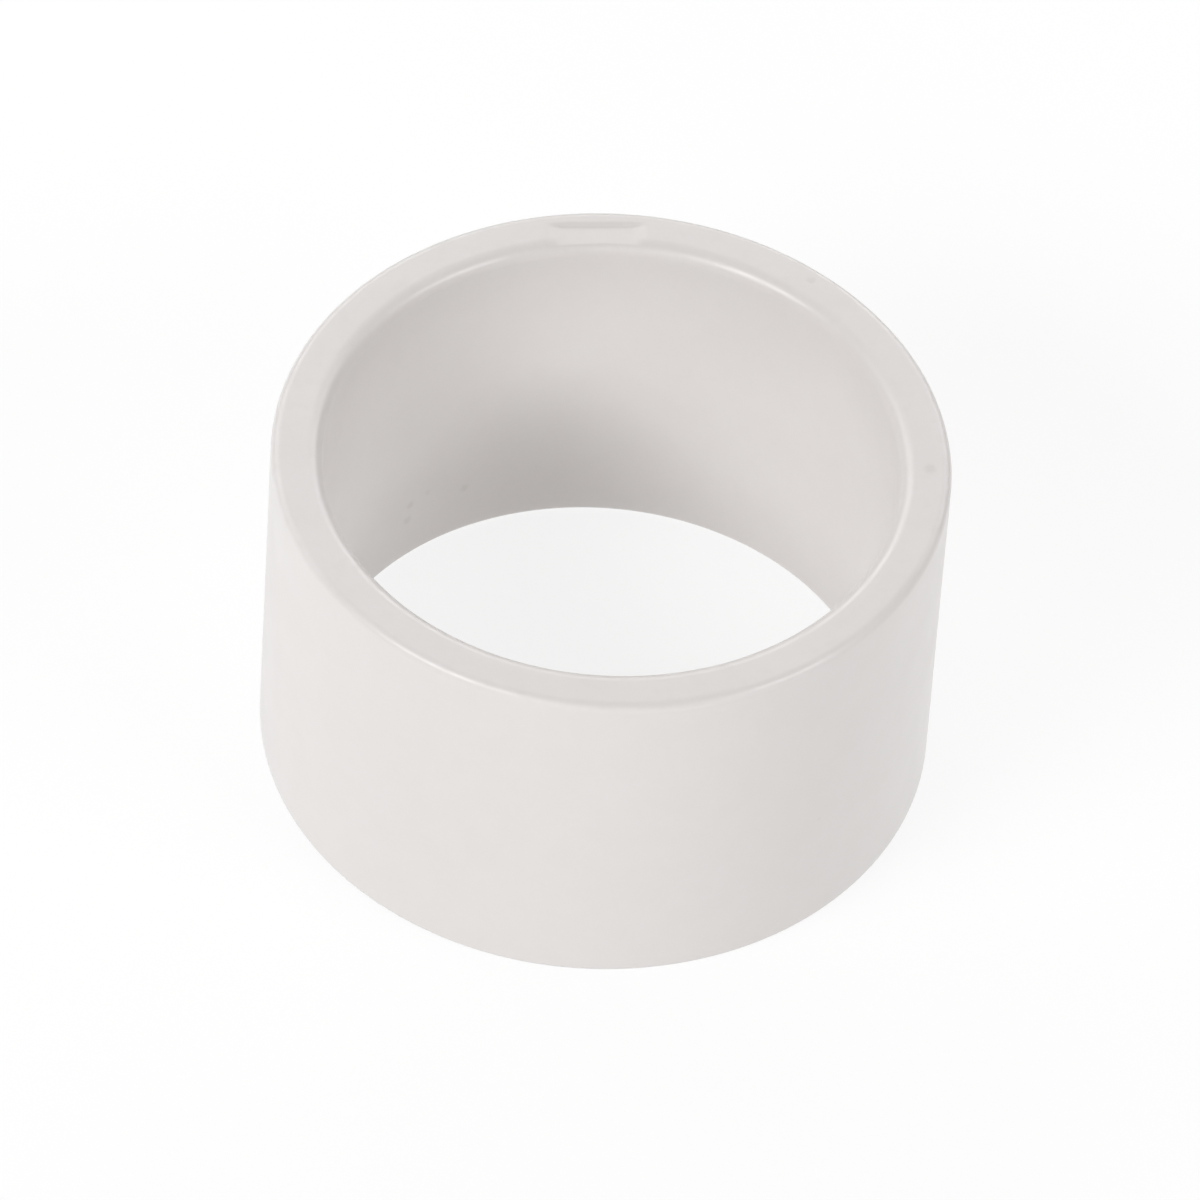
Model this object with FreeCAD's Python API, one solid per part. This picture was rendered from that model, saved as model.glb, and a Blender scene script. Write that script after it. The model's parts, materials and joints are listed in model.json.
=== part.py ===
import FreeCAD, Part

import math
import os

# A solvent-weld reducing coupling of the bush kind: one plain moulded ring. Its outside is the
# size of the larger waste pipe, so it is cemented into that pipe's socket, and the smaller waste
# pipe is cemented into its bore. Lengths are in millimetres and angles in degrees.
# The ring stands on its lower rim. The origin is the centre of that rim's plane, and +Z runs up
# the axis towards the end where the smaller pipe goes in.

# Driving dimensions
OUTSIDE_DIAMETER = 43.0  # outside of a 40 mm nominal waste pipe
BORE_DIAMETER = 36.5  # a 32 mm nominal waste pipe, 36.4 over the outside, slides in
HEIGHT = 24.9

# Radii of the rounded edges
LEAD_IN_RADIUS = 1.0  # upper inner edge, which guides the smaller pipe in
UPPER_OUTER_RADIUS = 0.6
LOWER_INNER_RADIUS = 0.45
LOWER_OUTER_RADIUS = 0.3

# Gate pocket: the shallow flat-floored recess in the upper rim where the moulding gate was cut
# off. It is open to the bore, and its outer side is straight.
GATE_BEARING = 95.7  # from +X towards +Y, at the pocket's middle
GATE_WIDTH = 6.6  # along the rim
GATE_REACH = 20.4  # from the axis to the outer side
GATE_DEPTH = 0.2

AXIS_FOOT = FreeCAD.Vector(0, 0, 0)
AXIS_DIRECTION = FreeCAD.Vector(0, 0, 1)


def quarter_round(centre_radius, centre_height, radius, start):
    """A quarter circle of the wall's section, counterclockwise from the angle start."""
    points = []
    for turn in (0, 45, 90):
        angle = math.radians(start + turn)
        across = centre_radius + radius * math.cos(angle)
        up = centre_height + radius * math.sin(angle)
        points.append(FreeCAD.Vector(across, 0, up))
    return Part.Arc(*points).toShape()


def wall_section():
    """The wall's section in the XZ plane: four rounded corners joined by straight edges."""
    inner = BORE_DIAMETER / 2
    outer = OUTSIDE_DIAMETER / 2
    lower_outer = quarter_round(
        outer - LOWER_OUTER_RADIUS, LOWER_OUTER_RADIUS, LOWER_OUTER_RADIUS, -90
    )
    upper_outer = quarter_round(
        outer - UPPER_OUTER_RADIUS, HEIGHT - UPPER_OUTER_RADIUS, UPPER_OUTER_RADIUS, 0
    )
    lead_in = quarter_round(inner + LEAD_IN_RADIUS, HEIGHT - LEAD_IN_RADIUS, LEAD_IN_RADIUS, 90)
    lower_inner = quarter_round(
        inner + LOWER_INNER_RADIUS, LOWER_INNER_RADIUS, LOWER_INNER_RADIUS, 180
    )
    corners = [lower_outer, upper_outer, lead_in, lower_inner]
    edges = []
    for corner, following in zip(corners, corners[1:] + corners[:1]):
        edges.append(corner)
        edges.append(Part.makeLine(corner.lastVertex().Point, following.firstVertex().Point))
    return Part.Face(Part.Wire(edges))


def gate_pocket():
    """The block that leaves the gate pocket when it is cut from the rim."""
    corner = FreeCAD.Vector(0, -GATE_WIDTH / 2, HEIGHT - GATE_DEPTH)
    block = Part.makeBox(GATE_REACH, GATE_WIDTH, 2 * GATE_DEPTH, corner)
    block.rotate(AXIS_FOOT, AXIS_DIRECTION, GATE_BEARING)
    return block


def reducer_ring():
    """The whole coupling: the wall's section turned about the axis, less the gate pocket."""
    plain_ring = wall_section().revolve(AXIS_FOOT, AXIS_DIRECTION, 360)
    return plain_ring.cut(gate_pocket())


ring = reducer_ring()
os.makedirs("parts", exist_ok=True)
ring.exportStep("parts/reducer_ring.step")
print("reducer_ring valid", ring.isValid(), "solids", len(ring.Solids), "volume", ring.Volume)
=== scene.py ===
import json
import math

import bmesh
import bpy
from mathutils import Matrix, Vector, noise


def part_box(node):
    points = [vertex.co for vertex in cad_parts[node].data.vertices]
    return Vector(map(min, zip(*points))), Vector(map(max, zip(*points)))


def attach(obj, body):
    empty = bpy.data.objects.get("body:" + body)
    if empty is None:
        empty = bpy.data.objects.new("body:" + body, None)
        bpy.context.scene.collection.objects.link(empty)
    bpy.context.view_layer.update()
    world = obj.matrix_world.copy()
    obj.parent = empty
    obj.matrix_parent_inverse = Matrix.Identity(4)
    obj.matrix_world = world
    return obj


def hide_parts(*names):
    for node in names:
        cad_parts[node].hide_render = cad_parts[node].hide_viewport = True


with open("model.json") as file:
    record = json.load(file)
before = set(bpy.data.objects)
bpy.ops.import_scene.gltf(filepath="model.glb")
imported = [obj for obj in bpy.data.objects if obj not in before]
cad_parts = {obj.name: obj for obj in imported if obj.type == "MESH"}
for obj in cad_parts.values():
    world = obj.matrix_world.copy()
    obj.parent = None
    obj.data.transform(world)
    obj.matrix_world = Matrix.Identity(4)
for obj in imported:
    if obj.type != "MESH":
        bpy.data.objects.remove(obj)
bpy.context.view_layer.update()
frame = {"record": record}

# The looks of a plain white reducing bush: one moulded ring with a rounded lead-in at the top,
# standing on a lit white table among softboxes. Lengths are in metres.

NODE = "reducer_ring"

# The ring's outer radius and height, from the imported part, and its bore's radius, from the record
NODE_LOW, NODE_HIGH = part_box(NODE)
OUTER = (NODE_HIGH.x - NODE_LOW.x) / 2
HEIGHT = NODE_HIGH.z
BORE_MOUNT = next(mount for mount in frame["record"]["mounts"] if mount["name"] == "bore")
BORE = BORE_MOUNT["dims"]["r_mm"] / 1000

# Radii of its rounded edges
LEAD_IN = 0.0010
UPPER_OUTER = 0.0006
LOWER_INNER = 0.00045
LOWER_OUTER = 0.0003

# The trimmed gate's pocket in the upper rim
GATE_BEARING = math.radians(95.7)
GATE_WIDTH = 0.0066
GATE_REACH = 0.0204
GATE_DEPTH = 0.0002
GATE_SIDE_RUN = 0.00035  # the width over which its outer side runs out
GATE_END_RUN = 0.0011  # the width over which its two ends run out

# Mesh fineness: rows go round the wall's section, and columns go round the ring
ROW_STEP = 0.00008  # between the rows on the rounded edges and the upper rim
LEAST_ARC_ROWS = 6  # on each rounded edge
WALL_ROWS = 40  # on each of the two straight walls
LOWER_RIM_ROWS = 8
TURN_COLUMNS = 480
GATE_END_COLUMNS = 14  # more columns at each end of the pocket
LEAST_COLUMN_TURN = 0.0012  # in radians: columns closer than this are left out

# The moulding's unevenness, as pairs of the width of a rise and how high it is
WAVES = [(0.009, 0.000012), (0.0025, 0.000003)]


def spread(start, end, count):
    """Numbers from start to just before end, in equal steps."""
    return [start + (end - start) * i / count for i in range(count)]


def arc_points(centre_radius, centre_height, radius, start_degrees):
    """Points along a quarter circle of the wall's section, without the last one."""
    count = max(LEAST_ARC_ROWS, round(radius * math.pi / 2 / ROW_STEP))
    points = []
    for angle in spread(start_degrees, start_degrees + 90, count):
        turn = math.radians(angle)
        across = centre_radius + radius * math.cos(turn)
        points.append((across, centre_height + radius * math.sin(turn)))
    return points


def line_points(start, end, count):
    """Points along a straight stretch of the section, without the last one."""
    return list(zip(spread(start[0], end[0], count), spread(start[1], end[1], count)))


def wall_section():
    """The wall's closed outline as (radius, height) pairs, counterclockwise."""
    outer_wall = ((OUTER, LOWER_OUTER), (OUTER, HEIGHT - UPPER_OUTER))
    upper_rim = ((OUTER - UPPER_OUTER, HEIGHT), (BORE + LEAD_IN, HEIGHT))
    bore_wall = ((BORE, HEIGHT - LEAD_IN), (BORE, LOWER_INNER))
    lower_rim = ((BORE + LOWER_INNER, 0), (OUTER - LOWER_OUTER, 0))
    upper_rows = round((OUTER - UPPER_OUTER - BORE - LEAD_IN) / ROW_STEP)
    section = arc_points(OUTER - LOWER_OUTER, LOWER_OUTER, LOWER_OUTER, -90)
    section += line_points(*outer_wall, WALL_ROWS)
    section += arc_points(OUTER - UPPER_OUTER, HEIGHT - UPPER_OUTER, UPPER_OUTER, 0)
    section += line_points(*upper_rim, upper_rows)
    section += arc_points(BORE + LEAD_IN, HEIGHT - LEAD_IN, LEAD_IN, 90)
    section += line_points(*bore_wall, WALL_ROWS)
    section += arc_points(BORE + LOWER_INNER, LOWER_INNER, LOWER_INNER, 180)
    section += line_points(*lower_rim, LOWER_RIM_ROWS)
    return section


def outward(section):
    """The outward direction at each point of the section, as (across, up) pairs."""
    directions = []
    for i in range(len(section)):
        before = section[i - 1]
        after = section[(i + 1) % len(section)]
        along = Vector((after[0] - before[0], after[1] - before[1])).normalized()
        directions.append((along.y, -along.x))
    return directions


def column_angles():
    """Bearings of the mesh's columns: even round the ring, and closer at the pocket's two ends."""
    angles = spread(0, 2 * math.pi, TURN_COLUMNS)
    half_turn = GATE_WIDTH / 2 / GATE_REACH
    run_turn = GATE_END_RUN / GATE_REACH
    for side in (-1, 1):
        middle = GATE_BEARING + side * (half_turn - run_turn / 2)
        angles += spread(middle - run_turn, middle + run_turn, GATE_END_COLUMNS)
    kept = []
    for angle in sorted(angles):
        if not kept or angle - kept[-1] > LEAST_COLUMN_TURN:
            kept.append(angle)
    return kept


def smooth_step(low, high, value):
    """0 below low, 1 above high, and a smooth run between them."""
    share = min(1.0, max(0.0, (value - low) / (high - low)))
    return share * share * (3 - 2 * share)


def gate_cut(x, y):
    """How far a point of the rim is inside the gate pocket: 0 outside, 1 on its floor."""
    along = x * math.cos(GATE_BEARING) + y * math.sin(GATE_BEARING)
    across = abs(y * math.cos(GATE_BEARING) - x * math.sin(GATE_BEARING))
    if along <= 0:
        return 0
    inside_reach = 1 - smooth_step(GATE_REACH - GATE_SIDE_RUN, GATE_REACH, along)
    inside_width = 1 - smooth_step(GATE_WIDTH / 2 - GATE_END_RUN, GATE_WIDTH / 2, across)
    return inside_reach * inside_width


def unevenness(point):
    """How far the moulded surface stands above or below its true place at a point."""
    total = 0
    for width, rise in WAVES:
        total += rise * noise.noise(point / width)
    return total


def ring_mesh():
    """The ring as one closed mesh of quads, a little uneven, with the gate pocket in its rim."""
    section = wall_section()
    directions = outward(section)
    gate_floor = HEIGHT - GATE_DEPTH
    mesh = bmesh.new()
    grid = []
    for angle in column_angles():
        column = []
        for (radius, z), (across, up) in zip(section, directions):
            true_place = Vector((radius * math.cos(angle), radius * math.sin(angle), z))
            cut = gate_cut(true_place.x, true_place.y)
            true_place.z -= cut * max(0.0, z - gate_floor)
            facing = Vector((across * math.cos(angle), across * math.sin(angle), up))
            column.append(mesh.verts.new(true_place + unevenness(true_place) * facing))
        grid.append(column)
    for column, following in zip(grid, grid[1:] + grid[:1]):
        for row in range(len(section)):
            next_row = (row + 1) % len(section)
            corners = (column[row], following[row], following[next_row], column[next_row])
            mesh.faces.new(corners)
    data = bpy.data.meshes.new("moulded_ring")
    mesh.to_mesh(data)
    mesh.free()
    data.shade_smooth()
    return data


def add_node(tree, kind, **settings):
    """A new shader node of a material or a world, with its settings."""
    node = tree.nodes.new("ShaderNode" + kind)
    for name, value in settings.items():
        setattr(node, name, value)
    return node


def join(tree, source, target):
    """Feed one socket from another, or from a plain number."""
    if isinstance(source, (int, float)):
        target.default_value = source
    else:
        tree.links.new(source, target)


def cloud(tree, place, width, detail=2.0):
    """Smooth random values from 0 to 1, with features about width across."""
    node = add_node(tree, "TexNoise")
    tree.links.new(place, node.inputs["Vector"])
    node.inputs["Scale"].default_value = 1 / width
    node.inputs["Detail"].default_value = detail
    return node.outputs[0]


def remap(tree, value, start, end, low, high):
    """A value's run from start to end, turned smoothly into a run from low to high."""
    node = add_node(tree, "MapRange", interpolation_type="SMOOTHSTEP")
    join(tree, value, node.inputs["Value"])
    for name, number in (("From Min", start), ("From Max", end), ("To Min", low), ("To Max", high)):
        node.inputs[name].default_value = number
    return node.outputs[0]


def combine(tree, operation, first, second):
    """Two values put together by one of the Math node's operations."""
    node = add_node(tree, "Math", operation=operation)
    join(tree, first, node.inputs[0])
    join(tree, second, node.inputs[1])
    return node.outputs[0]


def blend(tree, share, first, second):
    """A colour between two others. Each is a socket or three numbers."""
    node = add_node(tree, "Mix", data_type="RGBA")
    tree.links.new(share, node.inputs[0])
    # The Mix node's inputs 6 and 7 and its output 2 are the ones for colours
    for colour, socket in ((first, node.inputs[6]), (second, node.inputs[7])):
        if isinstance(colour, tuple):
            socket.default_value = (*colour, 1)
        else:
            tree.links.new(colour, socket)
    return node.outputs[2]


def scaled(colour, factor):
    """A colour made lighter or darker."""
    return tuple(part * factor for part in colour)


# The plastic's colours
WARM_WHITE = (0.654, 0.626, 0.611)
COOL_WHITE = (0.646, 0.625, 0.617)
DARKER_SHARE = 0.965  # how bright the darker places are beside the warm white
GRIME = (0.52, 0.49, 0.46)

# The clouding: a broad one between the two whites, and a close and a fine one that darken them
TINT_WIDTH = 0.010
CLOSE_WIDTH = 0.0022
FINE_WIDTH = 0.0004
CLOSE_STRENGTH = 0.5
DARKENING = 0.6

# Most of a noise pattern's values lie between these two
NOISE_LOW = 0.3
NOISE_HIGH = 0.7

# The wear on the upper rim and its edges
WEAR_START = 0.0009  # it starts this far below the top
WEAR_FULL = 0.0001  # it is full from this far below the top
WEAR_WIDTH = 0.0013
WEAR_PATCHES = (0.5, 0.72)  # the noise values where a patch starts and where it is full
WEAR_COLOUR = 0.1
WEAR_ROUGHNESS = 0.12

# The gloss
ROUGHNESS = (0.295, 0.36)  # the least and the most where the plastic isn't rubbed
GLOSS_WIDTH = 0.004

# The moulded texture: an orange peel and a finer grain
PEEL_WIDTH = 0.0014
GRAIN_WIDTH = 0.00022
GRAIN_STRENGTH = 0.08
TEXTURE_HEIGHT = 0.000005

# Sparse dark specks, at the middles of some of the cells that fill space in a random pattern
SPECK_SPACING = 0.0055
SPECK_RADIUS = 0.00017
SPECK_CORE = 0.4  # the share of its radius where a speck is at its darkest
CLEAN_SHARE = 0.6  # the share of cells without one
SPECK_STRENGTH = 0.22

# The marks' ragged edges
MARK_CORE = 0.3  # the share of its radius where a mark is at its darkest
RAGGED_WIDTH = 0.0004
RAGGED_SHIFT = 0.0003

# Dark marks in the plastic: bearing in degrees, distance from the axis, height, radius, strength
MARKS = [
    (134.5, BORE, 0.0049, 0.00045, 0.45),
    (135.2, BORE, 0.0036, 0.00045, 0.4),
    (130.0, BORE, 0.0052, 0.00035, 0.25),
    (121.0, BORE, 0.0041, 0.00042, 0.4),
    (2.0, 0.0201, HEIGHT, 0.00055, 0.4),
    (54.0, 0.0203, HEIGHT, 0.0004, 0.35),
]


def marks(tree, place):
    """How much grime the placed marks leave at each point."""
    ragged = add_node(tree, "TexNoise")
    tree.links.new(place, ragged.inputs["Vector"])
    ragged.inputs["Scale"].default_value = 1 / RAGGED_WIDTH
    shift = add_node(tree, "VectorMath", operation="MULTIPLY_ADD")
    tree.links.new(ragged.outputs["Color"], shift.inputs[0])
    shift.inputs[1].default_value = (RAGGED_SHIFT,) * 3
    tree.links.new(place, shift.inputs[2])
    evened = add_node(tree, "VectorMath", operation="SUBTRACT")
    tree.links.new(shift.outputs[0], evened.inputs[0])
    evened.inputs[1].default_value = (RAGGED_SHIFT / 2,) * 3
    total = 0.0
    for bearing, radius, z, size, strength in MARKS:
        turn = math.radians(bearing)
        gap = add_node(tree, "VectorMath", operation="DISTANCE")
        tree.links.new(evened.outputs[0], gap.inputs[0])
        gap.inputs[1].default_value = (radius * math.cos(turn), radius * math.sin(turn), z)
        mark = remap(tree, gap.outputs["Value"], MARK_CORE * size, size, strength, 0.0)
        total = combine(tree, "ADD", total, mark)
    return total


def specks(tree, place):
    """How much grime the specks leave at each point."""
    cells = add_node(tree, "TexVoronoi")
    tree.links.new(place, cells.inputs["Vector"])
    cells.inputs["Scale"].default_value = 1 / SPECK_SPACING
    edge = SPECK_RADIUS / SPECK_SPACING
    near = remap(tree, cells.outputs["Distance"], SPECK_CORE * edge, edge, 1.0, 0.0)
    parts = add_node(tree, "SeparateColor")
    tree.links.new(cells.outputs["Color"], parts.inputs[0])
    chosen = combine(tree, "GREATER_THAN", parts.outputs[0], CLEAN_SHARE)
    return combine(tree, "MULTIPLY", combine(tree, "MULTIPLY", near, chosen), SPECK_STRENGTH)


def rim_wear(tree, place):
    """How rubbed each point is: in patches on the upper rim and its edges, and nowhere else."""
    split = add_node(tree, "SeparateXYZ")
    tree.links.new(place, split.inputs[0])
    top = remap(tree, split.outputs["Z"], HEIGHT - WEAR_START, HEIGHT - WEAR_FULL, 0.0, 1.0)
    patches = remap(tree, cloud(tree, place, WEAR_WIDTH, detail=4.0), *WEAR_PATCHES, 0.0, 1.0)
    return combine(tree, "MULTIPLY", top, patches)


def plastic_colour(tree, place, wear):
    """The plastic's clouded white, with the wear, the specks and the marks over it."""
    tinting = remap(tree, cloud(tree, place, TINT_WIDTH), NOISE_LOW, NOISE_HIGH, 0.0, 1.0)
    close = remap(tree, cloud(tree, place, CLOSE_WIDTH), NOISE_LOW, NOISE_HIGH, 0.0, 1.0)
    close = combine(tree, "MULTIPLY", close, CLOSE_STRENGTH)
    fine = cloud(tree, place, FINE_WIDTH, detail=3.0)
    darkening = combine(tree, "MULTIPLY", combine(tree, "ADD", close, fine), DARKENING)
    white = blend(tree, tinting, WARM_WHITE, COOL_WHITE)
    white = blend(tree, darkening, white, scaled(WARM_WHITE, DARKER_SHARE))
    rubbed = blend(tree, combine(tree, "MULTIPLY", wear, WEAR_COLOUR), white, GRIME)
    dirt = combine(tree, "ADD", specks(tree, place), marks(tree, place))
    return blend(tree, combine(tree, "MINIMUM", dirt, 1.0), rubbed, GRIME)


def plastic_roughness(tree, place, wear):
    """A soft gloss that is a little uneven, and duller where the rim is rubbed."""
    gloss = cloud(tree, place, GLOSS_WIDTH, detail=3.0)
    gloss = remap(tree, gloss, NOISE_LOW, NOISE_HIGH, *ROUGHNESS)
    return combine(tree, "ADD", gloss, combine(tree, "MULTIPLY", wear, WEAR_ROUGHNESS))


def moulded_texture(tree, place):
    """The surface's direction at each point, with the peel and the grain in it."""
    grain = combine(tree, "MULTIPLY", cloud(tree, place, GRAIN_WIDTH), GRAIN_STRENGTH)
    height = combine(tree, "ADD", grain, cloud(tree, place, PEEL_WIDTH, detail=1.0))
    bump = add_node(tree, "Bump")
    bump.inputs["Strength"].default_value = 1.0
    bump.inputs["Distance"].default_value = TEXTURE_HEIGHT
    tree.links.new(height, bump.inputs["Height"])
    return bump.outputs[0]


def plastic():
    """The ring's white moulded plastic: soft gloss, faintly clouded, with a little wear."""
    material = bpy.data.materials.new("white_moulded_plastic")
    material.use_nodes = True
    tree = material.node_tree
    shader = tree.nodes["Principled BSDF"]
    place = add_node(tree, "TexCoord").outputs["Object"]
    wear = rim_wear(tree, place)
    tree.links.new(plastic_colour(tree, place, wear), shader.inputs["Base Color"])
    tree.links.new(plastic_roughness(tree, place, wear), shader.inputs["Roughness"])
    tree.links.new(moulded_texture(tree, place), shader.inputs["Normal"])
    return material


# The lit table
TABLE_HALF_WIDTH = 1.5
TABLE_COLOUR = (0.15, 0.15, 0.15)
TABLE_GLOW = 0.83


def lit_table():
    """A flat table that glows evenly white, and reaches well past the camera's view."""
    mesh = bmesh.new()
    bmesh.ops.create_grid(mesh, x_segments=2, y_segments=2, size=TABLE_HALF_WIDTH)
    data = bpy.data.meshes.new("lit_table")
    mesh.to_mesh(data)
    mesh.free()
    table = bpy.data.objects.new("lit_table", data)
    bpy.context.scene.collection.objects.link(table)
    material = bpy.data.materials.new("lit_white_acrylic")
    material.use_nodes = True
    shader = material.node_tree.nodes["Principled BSDF"]
    shader.inputs["Base Color"].default_value = (*TABLE_COLOUR, 1)
    shader.inputs["Roughness"].default_value = 1.0
    shader.inputs["Specular IOR Level"].default_value = 0.0
    shader.inputs["Emission Color"].default_value = (1, 1, 1, 1)
    shader.inputs["Emission Strength"].default_value = TABLE_GLOW
    data.materials.append(material)


# The camera's place round the ring's middle, and how far it is then moved across its own view
VIEW_ELEVATION = math.radians(47.5)
VIEW_ROLL = math.radians(4.0)
VIEW_DISTANCE = 0.851
MOVED_RIGHT = -0.000162
MOVED_UP = -0.000772

# Its lens
LENS_MM = 400.6
SENSOR_MM = 36
FARTHEST_SEEN = 20


def camera():
    """The camera: in front of the ring, looking down at it, and a little rolled."""
    back = Vector((0, -math.cos(VIEW_ELEVATION), math.sin(VIEW_ELEVATION)))
    right = Vector((1, 0, 0))
    up = back.cross(right)
    rolled_right = math.cos(VIEW_ROLL) * right + math.sin(VIEW_ROLL) * up
    rolled_up = back.cross(rolled_right)
    middle = Vector((0, 0, HEIGHT / 2))
    place = middle + VIEW_DISTANCE * back + MOVED_RIGHT * rolled_right + MOVED_UP * rolled_up
    data = bpy.data.cameras.new("camera")
    data.lens = LENS_MM
    data.sensor_width = SENSOR_MM
    data.clip_end = FARTHEST_SEEN
    seen_from = bpy.data.objects.new("camera", data)
    turned = Matrix((rolled_right, rolled_up, back)).transposed().to_4x4()
    seen_from.matrix_world = Matrix.Translation(place) @ turned
    bpy.context.scene.collection.objects.link(seen_from)
    bpy.context.scene.camera = seen_from


# The room's glow along the horizon, and where above the horizon it starts to fade and where it
# ends, as sines of the angle
HORIZON_GLOW = 0.75
HORIZON_FADE = (0.03, 0.06)

SOFTBOX_DISTANCE = 0.8

# Name, bearing from +X towards +Y and elevation in degrees, width, height, brightness
SOFTBOXES = [
    ("key_softbox", 223, 37, 0.50, 0.30, 6.7),
    ("key_core", 223, 37, 0.25, 0.22, 8.8),
    ("right_softbox", 331, 32, 0.42, 0.25, 7.4),
    ("right_wash", 5, 25, 0.40, 0.30, 1.6),
    ("front_strip", 266, 25, 0.50, 0.20, 3.4),
    ("back_panel", 98, 30, 0.60, 0.34, 2.2),
    ("back_left_panel", 124, 30, 0.70, 0.34, 2.0),
    ("left_panel", 152, 30, 0.60, 0.34, 1.7),
    ("back_right_softbox", 56, 26, 0.70, 0.30, 3.4),
]


def softbox(name, bearing, elevation, width, height, brightness):
    """A rectangular softbox that faces the ring. Its brightness is the radiance of its face."""
    turn = math.radians(bearing)
    rise = math.radians(elevation)
    towards = Vector(
        (math.cos(rise) * math.cos(turn), math.cos(rise) * math.sin(turn), math.sin(rise))
    )
    data = bpy.data.lights.new(name, "AREA")
    data.shape = "RECTANGLE"
    data.size = width
    data.size_y = height
    data.energy = math.pi * width * height * brightness
    light = bpy.data.objects.new(name, data)
    light.location = Vector((0, 0, HEIGHT / 2)) + SOFTBOX_DISTANCE * towards
    light.rotation_mode = "QUATERNION"
    light.rotation_quaternion = towards.to_track_quat("Z", "Y")
    bpy.context.scene.collection.objects.link(light)


def studio():
    """The softboxes, in a dim room that is pale only along the horizon."""
    for box in SOFTBOXES:
        softbox(*box)
    world = bpy.data.worlds.new("studio")
    world.use_nodes = True
    tree = world.node_tree
    split = add_node(tree, "SeparateXYZ")
    tree.links.new(add_node(tree, "TexCoord").outputs["Generated"], split.inputs[0])
    glow = remap(tree, split.outputs["Z"], *HORIZON_FADE, HORIZON_GLOW, 0.0)
    background = tree.nodes["Background"]
    background.inputs["Color"].default_value = (1, 1, 1, 1)
    tree.links.new(glow, background.inputs["Strength"])
    bpy.context.scene.world = world


camera()
ring = bpy.data.objects.new("moulded_ring", ring_mesh())
bpy.context.scene.collection.objects.link(ring)
ring.data.materials.append(plastic())
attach(ring, "root")
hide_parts(NODE)
lit_table()
studio()
bpy.context.scene.view_settings.view_transform = "Standard"
